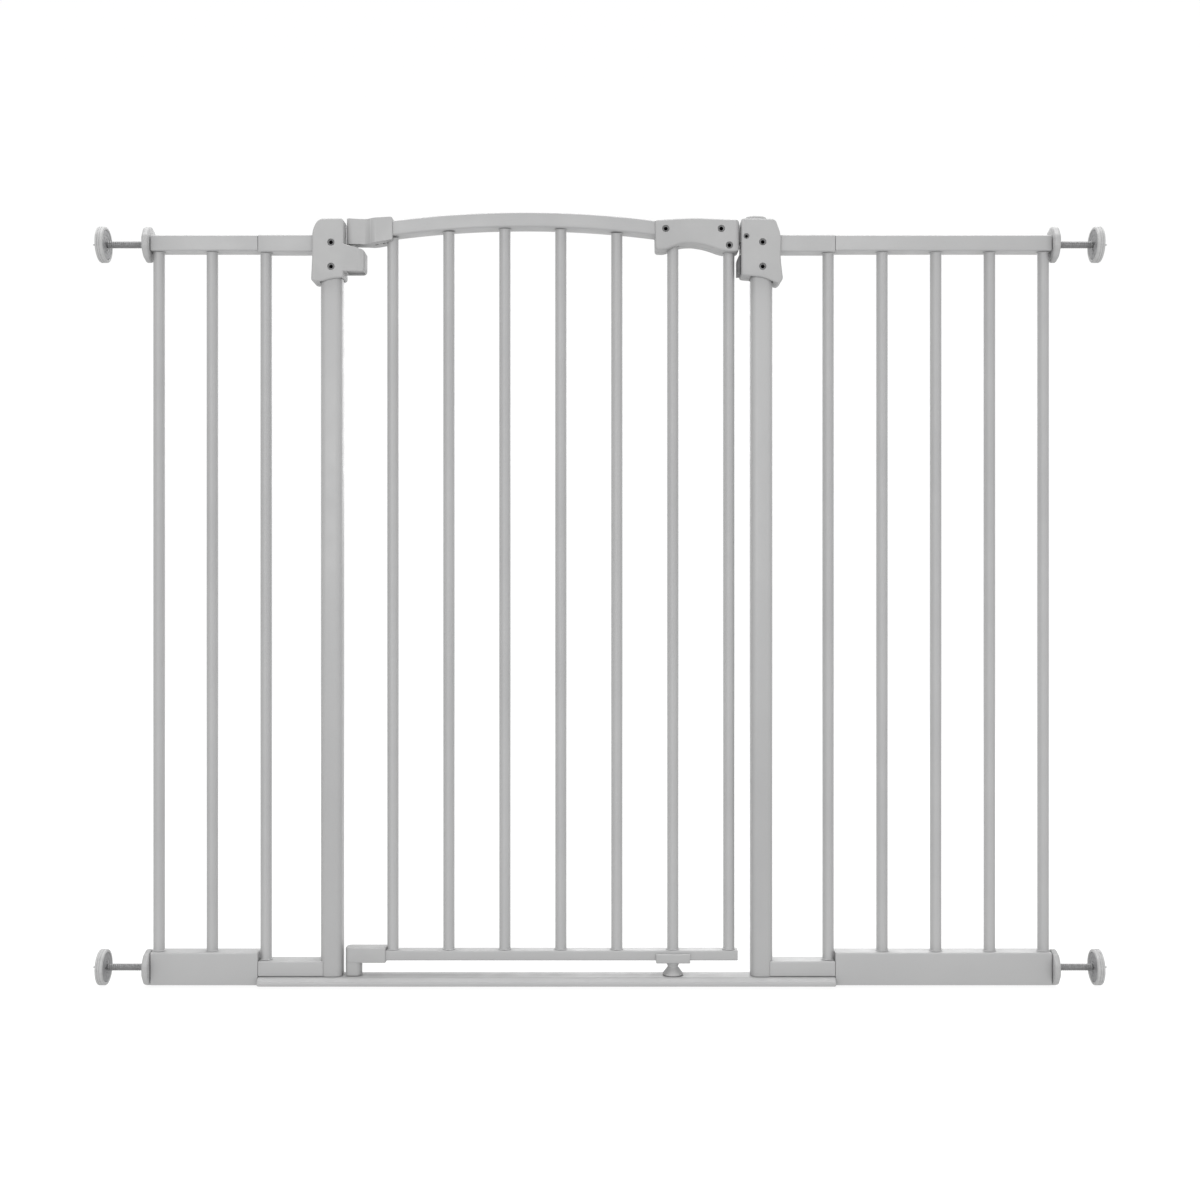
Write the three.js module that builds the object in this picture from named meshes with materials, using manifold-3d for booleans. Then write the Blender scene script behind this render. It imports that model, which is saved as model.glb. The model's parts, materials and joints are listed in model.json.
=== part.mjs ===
/**
 * Safety baby gate, pressure mounted, with a swing door and two side extensions.
 * Units are millimetres. +X runs along the opening, -Y faces the room, +Z is up.
 * The origin is on the floor, at the middle of the gate's width and depth.
 */
import * as THREE from 'three';
import { mergeVertices } from 'three/addons/utils/BufferGeometryUtils.js';
import Module from 'manifold-3d';

const wasm = await Module();
wasm.setup();

// ---- driving dimensions ----
const GAP = 0.3; // clearance between pieces that rest on each other
const BAR_R = 5.5;
const RAIL_DEPTH = 20;
const THRESHOLD = {
  left: -333, right: 229.1, depth: 32, lip: 3.2, edge: 6.4, crown: 10.5, crownDepth: 23, footDepth: 12,
};
const POST = { side: 21.2, corner: 6.5, left: -262, right: 157.8, top: 738.5 };
const STUB_TOP = { bottom: 716.9, top: 733.1 };
const STUB_BOTTOM = { bottom: THRESHOLD.crown + GAP, top: 25.7 };
const EXTENSION_TOP = { bottom: 717.8, top: 732.8 };
const EXTENSION_BOTTOM = { bottom: 2.2, top: 34 };
const EXTENSION_END = { left: -437.8, right: 440 };
const DOOR_BOTTOM = { left: -222, right: 134.4, bottom: 25.7, top: 35.5, depth: 14 };
const DOOR_BARS = { first: -202.9, pitch: 54.85, count: 7 };
const ARCH = { radius: 1010, centreX: -73.5, top: 755, height: 14.2, depth: 21 };
const ARCH_ENDS = { left: -216, right: 67 };
const HINGE_X = -241.1; // the door's swing axis stands here, at y = 0
const HOUSING_DEPTH = 27;
const HANDLE_DEPTH = 26;
const WHEEL = { radius: 17.5, width: 6.4 };
const PAD = { radius: 17.3, width: 7.3, face: 490, tipReach: 7 };
const SPINDLE = { radius: 3.4, topZ: 725.5, bottomZ: 17.8, insert: 30, travel: 10 };
const SCREW = { radius: 3, pocketRadius: 3.4, headFront: 0.9, pocketDepth: 2.05, socketDepth: 0.5 };
const BOLT = { left: 104, right: 143, halfDepth: 5, bottom: 727, top: 736, travel: 8 };
const BUTTON = { x: 152.4, radiusX: 10.4, radiusY: 7.5, bottom: 742.5, top: 753.2, travel: 3 };

// ---- finishes ----
const finish = (color, roughness, metalness) => ({ color, roughness, metalness });
const PAINT = finish(0xb9b9b9, 0.42, 0.2);
const PLASTIC = finish(0xbcbcbc, 0.5, 0);
const RUBBER = finish(0xc9c9c9, 0.75, 0);
const DARK = finish(0x55575a, 0.6, 0);
const STEEL = finish(0x8d8d8f, 0.35, 0.9);

const gate = new THREE.Group();
const add = (name, geometry, look, parent = gate) => {
  const mesh = new THREE.Mesh(geometry, new THREE.MeshStandardMaterial(look));
  mesh.name = name;
  parent.add(mesh);
  return mesh;
};

// ---- solid helpers ----
const welded = (geometry) => {
  const plain = geometry.index ? geometry.clone() : geometry;
  plain.deleteAttribute('normal');
  plain.deleteAttribute('uv');
  const merged = mergeVertices(plain, 1e-4);
  const kept = [];
  for (let i = 0; i < merged.index.count; i += 3) {
    const [a, b, c] = merged.index.array.slice(i, i + 3);
    if (a !== b && b !== c && c !== a) kept.push(a, b, c);
  }
  merged.setIndex(kept);
  return merged;
};

const solid = (geometry) => {
  const merged = welded(geometry);
  return new wasm.Manifold(new wasm.Mesh({
    numProp: 3,
    vertProperties: new Float32Array(merged.attributes.position.array),
    triVerts: new Uint32Array(merged.index.array),
  }));
};

const toGeometry = (manifold) => {
  const mesh = manifold.getMesh();
  const geometry = new THREE.BufferGeometry();
  geometry.setAttribute('position', new THREE.BufferAttribute(mesh.vertProperties, 3));
  geometry.setIndex(new THREE.BufferAttribute(mesh.triVerts, 1));
  return geometry;
};

const cut = (geometry, tools) => toGeometry(
  tools.reduce((body, tool) => body.subtract(solid(tool)), solid(geometry)),
);

const join = (pieces) => toGeometry(
  pieces.slice(1).reduce((body, piece) => body.add(solid(piece)), solid(pieces[0])),
);

/** Rectangle with rounded corners, centred on the origin. */
const roundedRect = (width, height, radius) => {
  const [x, y] = [width / 2, height / 2];
  const shape = new THREE.Shape();
  shape.moveTo(-x + radius, -y);
  shape.lineTo(x - radius, -y);
  shape.absarc(x - radius, -y + radius, radius, -Math.PI / 2, 0);
  shape.absarc(x - radius, y - radius, radius, 0, Math.PI / 2);
  shape.absarc(-x + radius, y - radius, radius, Math.PI / 2, Math.PI);
  shape.absarc(-x + radius, -y + radius, radius, Math.PI, Math.PI * 1.5);
  return shape;
};

const extrude = (shape, depth, curveSegments = 3) => new THREE.ExtrudeGeometry(
  shape,
  { depth, bevelEnabled: false, curveSegments },
);

/** Tube of rectangular section along X, between two ends and two heights. */
const railX = (left, right, bottom, top, depth, radius = 1.5) => {
  const geometry = extrude(roundedRect(depth, top - bottom, radius), right - left);
  geometry.rotateX(Math.PI / 2).rotateZ(Math.PI / 2);
  return geometry.translate(left, 0, (bottom + top) / 2);
};

/** Tube of square section along Z. */
const postZ = (x, side, corner, bottom, top) => {
  const geometry = extrude(roundedRect(side, side, corner), top - bottom, 4);
  return geometry.translate(x, 0, bottom);
};

const block = (xs, ys, zs) => {
  const box = new THREE.BoxGeometry(xs[1] - xs[0], ys[1] - ys[0], zs[1] - zs[0]);
  return box.translate((xs[0] + xs[1]) / 2, (ys[0] + ys[1]) / 2, (zs[0] + zs[1]) / 2);
};

const rodZ = (x, radius, bottom, top, sides = 16) => {
  const rod = new THREE.CylinderGeometry(radius, radius, top - bottom, sides);
  return rod.rotateX(Math.PI / 2).translate(x, 0, (bottom + top) / 2);
};

/** Cylinder along Y, for screws and their pockets. */
const rodY = (x, z, radius, front, back, sides = 12) => {
  const rod = new THREE.CylinderGeometry(radius, radius, back - front, sides);
  return rod.translate(x, (front + back) / 2, z);
};

/** Upright slab with an outline in the X-Z plane and softened front and back edges. */
const slab = (outline, front, back, bevel = 1.5) => {
  const depth = back - front - 2 * bevel;
  const geometry = new THREE.ExtrudeGeometry(outline, {
    depth,
    bevelThickness: bevel,
    bevelSize: bevel,
    bevelOffset: -bevel,
    bevelSegments: 2,
    curveSegments: 4,
  });
  return geometry.rotateX(Math.PI / 2).translate(0, back - bevel, 0);
};

const half = (geometry, side) => {
  const far = 1000;
  const ys = side === 'front' ? [-GAP / 2, far] : [-far, GAP / 2];
  return cut(geometry, [block([-far, far], ys, [-far, far])]);
};

/** Smooth closed outline through hand-placed corners, each [x, z, corner radius]. */
const outlineOf = (corners) => {
  const shape = new THREE.Shape();
  corners.forEach(([x, z, radius], index) => {
    const corner = new THREE.Vector2(x, z);
    const before = new THREE.Vector2(...corners.at(index - 1).slice(0, 2));
    const after = new THREE.Vector2(...corners[(index + 1) % corners.length].slice(0, 2));
    const enter = before.sub(corner).setLength(radius).add(corner);
    const leave = after.sub(corner).setLength(radius).add(corner);
    if (index === 0) shape.moveTo(enter.x, enter.y);
    else shape.lineTo(enter.x, enter.y);
    shape.quadraticCurveTo(corner.x, corner.y, leave.x, leave.y);
  });
  return new THREE.Shape(shape.getPoints(4));
};

/** Solid with an outline in the X-Y plane, between two heights. */
const column = (plan, bottom, top) => (
  extrude(outlineOf(plan), top - bottom).translate(0, 0, bottom)
);

// ---- threshold and posts ----
const thresholdProfile = () => {
  const { depth, lip, edge, crown, crownDepth, footDepth } = THRESHOLD;
  const [outer, inner, foot] = [depth / 2, crownDepth / 2, footDepth / 2];
  return new THREE.Shape([
    new THREE.Vector2(-foot, 0),
    new THREE.Vector2(foot, 0),
    new THREE.Vector2(outer, lip),
    new THREE.Vector2(outer, edge - 1),
    new THREE.Vector2(outer - 1.5, edge),
    new THREE.Vector2(inner, crown - 0.6),
    new THREE.Vector2(inner - 1.5, crown),
    new THREE.Vector2(1.5 - inner, crown),
    new THREE.Vector2(-inner, crown - 0.6),
    new THREE.Vector2(1.5 - outer, edge),
    new THREE.Vector2(-outer, edge - 1),
    new THREE.Vector2(-outer, lip),
  ]);
};

const SOCKET_DEPTH = 5; // blind hole in the threshold that takes the door's lower pin
const addThreshold = () => {
  const bar = extrude(thresholdProfile(), THRESHOLD.right - THRESHOLD.left);
  bar.rotateX(Math.PI / 2).rotateZ(Math.PI / 2).translate(THRESHOLD.left, 0, 0);
  const socketRadius = BRACKET.pinRadius + GAP;
  const socket = rodZ(HINGE_X, socketRadius, THRESHOLD.crown - SOCKET_DEPTH, 20);
  add('threshold', cut(bar, [socket]), PAINT);
  [['left_post', POST.left], ['right_post', POST.right]].forEach(([name, x]) => {
    const bottom = THRESHOLD.crown + GAP;
    add(name, postZ(x, POST.side, POST.corner, bottom, POST.top), PAINT);
  });
};

// ---- fixed stubs beside the posts, and the extensions that join them ----
const barRow = (first, pitch, count) => Array.from({ length: count }, (_, i) => first + i * pitch);
const FRAME_BARS = {
  left_stub: barRow(-327.1, 0, 1),
  left_extension: barRow(-432, 52.2, 2),
  right_stub: barRow(223.5, 0, 1),
  right_extension: barRow(276.3, 52.63, 4),
};

const spindleBores = (z) => [EXTENSION_END.left, EXTENSION_END.right].map((end) => {
  const reach = SPINDLE.insert + SPINDLE.travel + 5;
  const radius = SPINDLE.radius + GAP;
  const bore = new THREE.CylinderGeometry(radius, radius, 2 * reach, 12);
  return bore.rotateZ(Math.PI / 2).translate(end, 0, z);
});

const postCopes = () => [POST.left, POST.right].map((x) => (
  postZ(x, POST.side + 2 * GAP, POST.corner, -10, 800)
));

const addPanel = (name, top, bottom, ends) => {
  const topRail = railX(...ends, top.bottom, top.top, RAIL_DEPTH);
  const bottomRail = railX(...ends, bottom.bottom, bottom.top, RAIL_DEPTH);
  const copes = postCopes();
  add(`${name}_top_rail`, cut(topRail, [...spindleBores(SPINDLE.topZ), ...copes]), PAINT);
  add(`${name}_bottom_rail`, cut(bottomRail, [...spindleBores(SPINDLE.bottomZ), ...copes]), PAINT);
  FRAME_BARS[name].forEach((x, index) => {
    const bar = rodZ(x, BAR_R, bottom.top + GAP, top.bottom - GAP);
    add(`${name}_bar_${index + 1}`, bar, PAINT);
  });
};

const postFace = POST.side / 2 - POST.corner; // rails are coped round the posts' corners
const LEFT_SEAM = THRESHOLD.left;
const RIGHT_SEAM = THRESHOLD.right;
const addPanels = () => {
  const leftPost = POST.left - postFace;
  const rightPost = POST.right + postFace;
  addPanel('left_stub', STUB_TOP, STUB_BOTTOM, [LEFT_SEAM, leftPost]);
  addPanel('right_stub', STUB_TOP, STUB_BOTTOM, [rightPost, RIGHT_SEAM]);
  const leftEnds = [EXTENSION_END.left, LEFT_SEAM - GAP];
  const rightEnds = [RIGHT_SEAM + GAP, EXTENSION_END.right];
  addPanel('left_extension', EXTENSION_TOP, EXTENSION_BOTTOM, leftEnds);
  addPanel('right_extension', EXTENSION_TOP, EXTENSION_BOTTOM, rightEnds);
};

// ---- plastic housings on the post tops ----
const HINGE_HOUSING = [
  [-279.7, 736.8, 5], [-274.2, 748.4, 6], [-249.2, 748.8, 4], [-249.2, 691.2, 2.6],
  [-262, 689.8, 5], [-271.5, 687, 4], [-281, 687, 4], [-279.7, 712.6, 8],
];
const HINGE_ARM = [
  [-262, 727.6, 3], [-228.6, 717.8, 4], [-228.6, 697, 5], [-262, 697, 3],
];
const HINGE_ARM_PLAN = [
  [-262, -13.5, 1], [-228.6, -13.5, 8], [-228.6, 8, 4], [-262, 8, 1],
];
const LATCH_HOUSING = [
  [137.3, 748.4, 2.5], [170.4, 748, 4], [176.2, 731.8, 6], [175.4, 710.8, 8], [178, 689.2, 3],
  [173.6, 685, 2.8], [158.4, 691.4, 6], [137.3, 693.4, 2.5],
];
const HINGE_SCREWS = [[-261.4, 725.1], [-261.4, 701.6]];
const LATCH_SCREWS = [[158.1, 725.4], [158.1, 701.7], [142.3, 731, 0.76]];
const HANDLE_SCREWS = [[64, 738.5], [117.9, 738.5], [125.8, 722.4]];

const screwPockets = (places, front) => places.map(([x, z, size = 1]) => (
  rodY(x, z, SCREW.pocketRadius * size, front - 1, front + SCREW.pocketDepth)
));

const addScrews = (label, places, front, parent) => places.forEach(([x, z, size = 1], index) => {
  const headFront = front + SCREW.headFront;
  const headBack = front + SCREW.pocketDepth - GAP;
  const radius = SCREW.radius * size;
  const head = rodY(x, z, radius, headFront, headBack);
  const socketEnd = headFront + SCREW.socketDepth;
  const socket = rodY(x, z, radius / 2, headFront - 1, socketEnd, 6);
  add(`${label}_screw_${index + 1}`, cut(head, [socket]), STEEL, parent);
});

const SHELL_EDGE = 1.3;
const addShells = (label, outline, depth, pockets, screws, extra = []) => {
  const front = -depth / 2;
  const body = slab(outlineOf(outline), front, -front, SHELL_EDGE);
  const hollow = cut(join([body, ...extra]), pockets);
  add(`${label}_front`, cut(half(hollow, 'front'), screwPockets(screws, front)), PLASTIC);
  add(`${label}_back`, half(hollow, 'back'), PLASTIC);
  addScrews(label, screws, front);
};

const postPocket = (x) => (
  postZ(x, POST.side + 2 * GAP, POST.corner, 600, POST.top + GAP)
);
const stubPocket = (left, right) => (
  railX(left, right, STUB_TOP.bottom - GAP, STUB_TOP.top + GAP, RAIL_DEPTH + 2 * GAP)
);

const HINGE_PIN = { radius: 4, bottom: 700, top: 738 };
const buttonShape = (grow) => {
  const shape = new THREE.Shape();
  shape.absellipse(0, 0, BUTTON.radiusX + grow, BUTTON.radiusY + grow, 0, Math.PI * 2);
  return shape;
};

/** Arm that carries the door's knuckle: a side view crossed with a rounded plan. */
const hingeArm = () => {
  const side = slab(outlineOf(HINGE_ARM), -HOUSING_DEPTH / 2, HOUSING_DEPTH / 2, SHELL_EDGE);
  return toGeometry(solid(side).intersect(solid(column(HINGE_ARM_PLAN, 600, 800))));
};

const addHousings = () => {
  const pinHole = rodZ(HINGE_X, HINGE_PIN.radius + GAP, HINGE_PIN.bottom - GAP, 800);
  const hingePockets = [
    postPocket(POST.left), stubPocket(-300, POST.left), pinHole,
  ];
  addShells(
    'hinge_housing', HINGE_HOUSING, HOUSING_DEPTH, hingePockets, HINGE_SCREWS, [hingeArm()],
  );

  const buttonHole = extrude(buttonShape(2 * GAP), 30, 6);
  buttonHole.translate(BUTTON.x, 0, BUTTON.bottom - BUTTON.travel - GAP);
  const boltPocket = block(
    [130, BOLT.right + 2],
    [-BOLT.halfDepth - 1, BOLT.halfDepth + 1],
    [BOLT.bottom - 1, BOLT.top + 1],
  );
  const latchPockets = [
    postPocket(POST.right), stubPocket(POST.right, 200), buttonHole, boltPocket,
  ];
  addShells('latch_housing', LATCH_HOUSING, HOUSING_DEPTH, latchPockets, LATCH_SCREWS);

  const strikeOutline = outlineOf([
    [133.9, 695, 1], [137, 695, 0.8], [137, 713.2, 0.7], [135.6, 713.2, 0.6], [133.9, 709.6, 1],
  ]);
  add('strike_plate', slab(strikeOutline, -9, 9, 0.3), DARK);

  const button = new THREE.ExtrudeGeometry(buttonShape(0), {
    depth: BUTTON.top - BUTTON.bottom - 1.2,
    bevelThickness: 1.2,
    bevelSize: 1.2,
    bevelOffset: -1.2,
    bevelSegments: 2,
    curveSegments: 6,
  });
  button.translate(BUTTON.x, 0, BUTTON.bottom);
  const flatBase = block([100, 200], [-50, 50], [700, BUTTON.bottom]);
  add('lock_button', cut(button, [flatBase]), PLASTIC);
};

// ---- spindles, hand wheels and wall pads at the four corners ----
const lathe = (points, sides) => new THREE.LatheGeometry(
  points.map(([radius, height]) => new THREE.Vector2(radius, height)),
  sides,
);

const addSpindle = (label, side, z) => {
  const railEnd = side < 0 ? EXTENSION_END.left : EXTENSION_END.right;
  const corner = new THREE.Group();
  corner.position.set(railEnd, 0, z);
  // inside this group +Z points out of the rail, towards the wall
  corner.rotation.y = side * Math.PI / 2;
  gate.add(corner);

  const { radius, width } = WHEEL;
  const bore = SPINDLE.radius + 0.1;
  const wheel = lathe([
    [bore, 0.8], [radius - 1, 0.8], [radius, 1.8], [radius, width - 0.6],
    [radius - 1.4, 0.8 + width], [bore, 0.8 + width], [bore, 0.8],
  ], 24);
  add(`${label}_wheel`, wheel.rotateX(Math.PI / 2), PLASTIC, corner);

  const faceOut = PAD.face - Math.abs(railEnd);
  const inner = faceOut - PAD.width;
  const rod = rodZ(0, SPINDLE.radius, -SPINDLE.insert, inner - GAP, 12);
  add(`${label}_spindle`, rod, STEEL, corner);
  const pad = lathe([
    [0, inner], [PAD.radius - 1.6, inner], [PAD.radius, inner + 1.4],
    [PAD.radius, faceOut - 1.2], [PAD.radius - 1.2, faceOut], [1.6, faceOut],
    [0, faceOut + PAD.tipReach],
  ], 24);
  add(`${label}_pad`, pad.rotateX(Math.PI / 2), RUBBER, corner);
};

const CORNERS = [
  ['top_left', -1, SPINDLE.topZ], ['bottom_left', -1, SPINDLE.bottomZ],
  ['top_right', 1, SPINDLE.topZ], ['bottom_right', 1, SPINDLE.bottomZ],
];

// ---- swing door ----
const archUnderside = (x) => {
  const centreZ = ARCH.top - ARCH.radius;
  const inner = ARCH.radius - ARCH.height;
  return centreZ + Math.sqrt(inner ** 2 - (x - ARCH.centreX) ** 2);
};

/** Curved top rail between two X ends, grown on every side to cut its own pocket. */
const archRail = (left, right, grow = 0) => {
  const centreZ = ARCH.top - ARCH.radius;
  const outer = ARCH.radius + grow;
  const inner = ARCH.radius - ARCH.height - grow;
  const angleAt = (x) => Math.PI / 2 - Math.asin((x - ARCH.centreX) / ARCH.radius);
  const shape = new THREE.Shape();
  shape.absarc(ARCH.centreX, centreZ, outer, angleAt(left), angleAt(right), true);
  shape.absarc(ARCH.centreX, centreZ, inner, angleAt(right), angleAt(left), false);
  shape.closePath();
  const halfDepth = ARCH.depth / 2 + grow;
  const geometry = new THREE.ExtrudeGeometry(shape, {
    depth: 2 * halfDepth - 3,
    bevelThickness: 1.5,
    bevelSize: 1.5,
    bevelOffset: -1.5,
    bevelSegments: 2,
    curveSegments: 20,
  });
  return geometry.rotateX(Math.PI / 2).translate(0, halfDepth - 1.5, 0);
};

// outlines seen from above, narrow enough round the swing axis to clear the fixed pieces
const KNUCKLE_PLAN = [
  [-247.6, -7.4, 6], [-226.4, -7.4, 4], [-221.4, -12.4, 4], [-201.5, -12.4, 2],
  [-201.5, 12.4, 2], [-221.4, 12.4, 4], [-226.4, 7.4, 4], [-247.6, 7.4, 6],
];
const KNUCKLE_FACE = [
  [-260, 751.2, 4], [-240, 749.2, 8], [-226, 748.8, 5], [-201.5, 750.2, 3], [-201.5, 728.4, 2.5],
  [-226, 724.4, 5], [-260, 725, 3],
];
const BRACKET = { bottom: 23.7, top: 38.2, pinRadius: 3.4 };
const BRACKET_LEG_PLAN = [
  [-248.6, -7.5, 5], [-233.2, -7.5, 6], [-233.2, 7.5, 6], [-248.6, 7.5, 5],
];
const BRACKET_PLAN = [
  [-248.6, -8.4, 6], [-209, -8.4, 2], [-209, 8.4, 2], [-248.6, 8.4, 6],
];

const addHingeParts = () => {
  const plan = column(KNUCKLE_PLAN, 700, 800);
  const face = slab(outlineOf(KNUCKLE_FACE), -20, 20);
  const arm = toGeometry(solid(plan).intersect(solid(face)));
  const pin = rodZ(HINGE_X, HINGE_PIN.radius, HINGE_PIN.bottom, 730);
  const pocket = archRail(ARCH_ENDS.left - 1, 0, GAP);
  const barPocket = rodZ(DOOR_BARS.first, BAR_R + GAP, 700, 740);
  add('hinge_knuckle', cut(join([arm, pin]), [pocket, barPocket]), PLASTIC);

  const { bottom, top, pinRadius } = BRACKET;
  const foot = column(BRACKET_PLAN, bottom, top);
  const leg = column(BRACKET_LEG_PLAN, THRESHOLD.crown + GAP, bottom + 1);
  const pivotEnd = THRESHOLD.crown - SOCKET_DEPTH + GAP;
  const pivot = rodZ(HINGE_X, pinRadius, pivotEnd, bottom);
  const railPocket = railX(
    DOOR_BOTTOM.left - GAP, -200, DOOR_BOTTOM.bottom - GAP, DOOR_BOTTOM.top + GAP,
    DOOR_BOTTOM.depth + 2 * GAP,
  );
  add('lower_hinge_bracket', cut(join([foot, leg, pivot]), [railPocket]), PLASTIC);
};

const HANDLE = [
  [53.6, 747, 2.5], [90, 749.2, 12], [135.6, 747.2, 4], [135.8, 717.6, 3.5], [130, 716.2, 2],
  [118, 717.2, 5], [103, 722.6, 6], [90, 724.8, 5], [78, 724.2, 5], [63, 718, 4],
  [53.8, 718.4, 3],
];

const barX = (index) => DOOR_BARS.first + index * DOOR_BARS.pitch;
const barTop = (index) => {
  const x = barX(index);
  if (index === DOOR_BARS.count - 1) return 722;
  return Math.min(archUnderside(x - BAR_R), archUnderside(x + BAR_R)) - GAP;
};

const THUMB = { left: 102, right: 120, halfDepth: 6.5, bottom: 743, top: 747 };
const STEM = { left: 108, right: 114, halfDepth: 3 };

const addHandle = () => {
  const slide = (xs, y, zs) => block([xs[0] - BOLT.travel - GAP, xs[1]], [-y, y], zs);
  const grown = (part) => part.halfDepth + 2 * GAP;
  const pockets = [
    archRail(0, ARCH_ENDS.right + 1, GAP),
    rodZ(barX(5), BAR_R + GAP, 600, barTop(5) + 2 * GAP),
    rodZ(barX(6), BAR_R + GAP, 600, barTop(6) + GAP),
    slide([BOLT.left, 150], grown(BOLT), [BOLT.bottom - GAP, BOLT.top + GAP]),
    slide([STEM.left, STEM.right + GAP], grown(STEM), [BOLT.top, THUMB.bottom]),
    slide([THUMB.left, THUMB.right + GAP], grown(THUMB), [THUMB.bottom - GAP, 800]),
  ];
  addShells('handle', HANDLE, HANDLE_DEPTH, pockets, HANDLE_SCREWS);

  const bolt = railX(BOLT.left, BOLT.right, BOLT.bottom, BOLT.top, 2 * BOLT.halfDepth, 1);
  const stem = block(
    [STEM.left, STEM.right], [-STEM.halfDepth, STEM.halfDepth], [BOLT.top - 1, THUMB.bottom + 1],
  );
  const thumb = railX(THUMB.left, THUMB.right, THUMB.bottom, THUMB.top, 2 * THUMB.halfDepth, 1);
  add('latch_slider', join([bolt, stem, thumb]), PLASTIC);
};

const CLIP = { halfLength: 16.6, halfDepth: 9.2, bottom: 23.2, top: 32.4 };

const addDoor = () => {
  add('door_top_rail', archRail(ARCH_ENDS.left, ARCH_ENDS.right), PAINT);
  const { left, right, bottom, top, depth } = DOOR_BOTTOM;
  add('door_bottom_rail', railX(left, right, bottom, top, depth), PAINT);
  for (let index = 0; index < DOOR_BARS.count; index += 1) {
    const bar = rodZ(barX(index), BAR_R, top + GAP, barTop(index));
    add(`door_bar_${index + 1}`, bar, PAINT);
  }

  const clipX = barX(5);
  const clip = block(
    [clipX - CLIP.halfLength, clipX + CLIP.halfLength],
    [-CLIP.halfDepth, CLIP.halfDepth],
    [CLIP.bottom, CLIP.top],
  );
  const channel = railX(0, 120, bottom - GAP, top + 3, depth + 2 * GAP, 0.5);
  const base = THRESHOLD.crown + GAP;
  const stop = lathe([
    [0, base], [10.2, base], [10, base + 1.4], [5.2, 18.6], [5.2, 20], [6.4, 23.4], [0, 23.4],
  ], 20).rotateX(Math.PI / 2).translate(clipX, 0, 0);
  add('door_stop', join([cut(clip, [channel]), stop]), PLASTIC);
};

addThreshold();
addPanels();
addHousings();
CORNERS.forEach(([label, side, z]) => addSpindle(label, side, z));
addHingeParts();
addHandle();
addDoor();

export default gate;
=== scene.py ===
"""Looks for a pressure-mounted safety baby gate with a swing door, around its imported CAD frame.

Lengths are in metres. +X runs from the hinge side to the latch side, -Y is the front, +Z is up.
"""
import json
import math

import bmesh
import bpy
from mathutils import Matrix, Vector


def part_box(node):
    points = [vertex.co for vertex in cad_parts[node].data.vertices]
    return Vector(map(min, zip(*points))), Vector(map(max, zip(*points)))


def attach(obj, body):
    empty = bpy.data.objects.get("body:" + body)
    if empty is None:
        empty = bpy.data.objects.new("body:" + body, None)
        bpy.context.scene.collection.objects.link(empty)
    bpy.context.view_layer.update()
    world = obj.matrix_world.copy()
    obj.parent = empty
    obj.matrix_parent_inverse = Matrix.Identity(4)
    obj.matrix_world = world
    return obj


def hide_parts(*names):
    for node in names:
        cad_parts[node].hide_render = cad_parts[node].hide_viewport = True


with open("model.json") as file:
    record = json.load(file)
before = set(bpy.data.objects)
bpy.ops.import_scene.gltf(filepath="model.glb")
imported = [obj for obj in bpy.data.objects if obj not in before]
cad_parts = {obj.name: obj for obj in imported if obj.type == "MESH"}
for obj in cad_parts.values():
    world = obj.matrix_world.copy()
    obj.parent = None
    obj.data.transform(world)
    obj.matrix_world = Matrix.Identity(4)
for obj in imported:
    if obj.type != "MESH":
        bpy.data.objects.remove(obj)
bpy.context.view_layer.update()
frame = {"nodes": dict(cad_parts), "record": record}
NODE_BODY = {n: b for b, nodes in frame["record"]["behaviour"]["bodies"].items() for n in nodes}

# ---- driving sizes ----
MM = 0.001
CAMERA_HEIGHT = 0.3775
CAMERA_DISTANCE = 1.47
FIELD_WIDTH = 1.176  # width seen at the gate's own plane
HINGE_X = -0.2411
RAIL_EDGE = 1.4 * MM
POST_EDGE = 6.5 * MM
WELD = 0.9 * MM
SHELL_EDGE = 2.0 * MM
SEAM_EDGE = 0.35 * MM
THREAD_PITCH = 2.0 * MM
BOLT_START = 0.104  # left end of the latch bolt
BOLT_LOW, BOLT_HIGH = 0.727, 0.736
BOLT_TRAVEL = 8 * MM
STEM = (0.108, 0.114)  # left and right of the stem that joins bolt and thumb piece
THUMB = (0.102, 0.120)
SHARP_DEG = 35  # edges sharper than this stay crisp
CLEARANCE = 0.3 * MM  # between a piece and the pocket round it
BAR_POCKET = 5.9 * MM  # radius of a pocket that takes the end of a bar
RAIL_POCKET = 10.8 * MM  # half depth of a pocket that takes the door's top rail
TALL_CUTTER = (0.6, 0.8)  # heights that reach past every fitting at the top
CUTTER_EDGE = 0.5 * MM
MIX_FIRST, MIX_SECOND, MIX_RESULT = 6, 7, 2  # colour sockets of the Mix node


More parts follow.
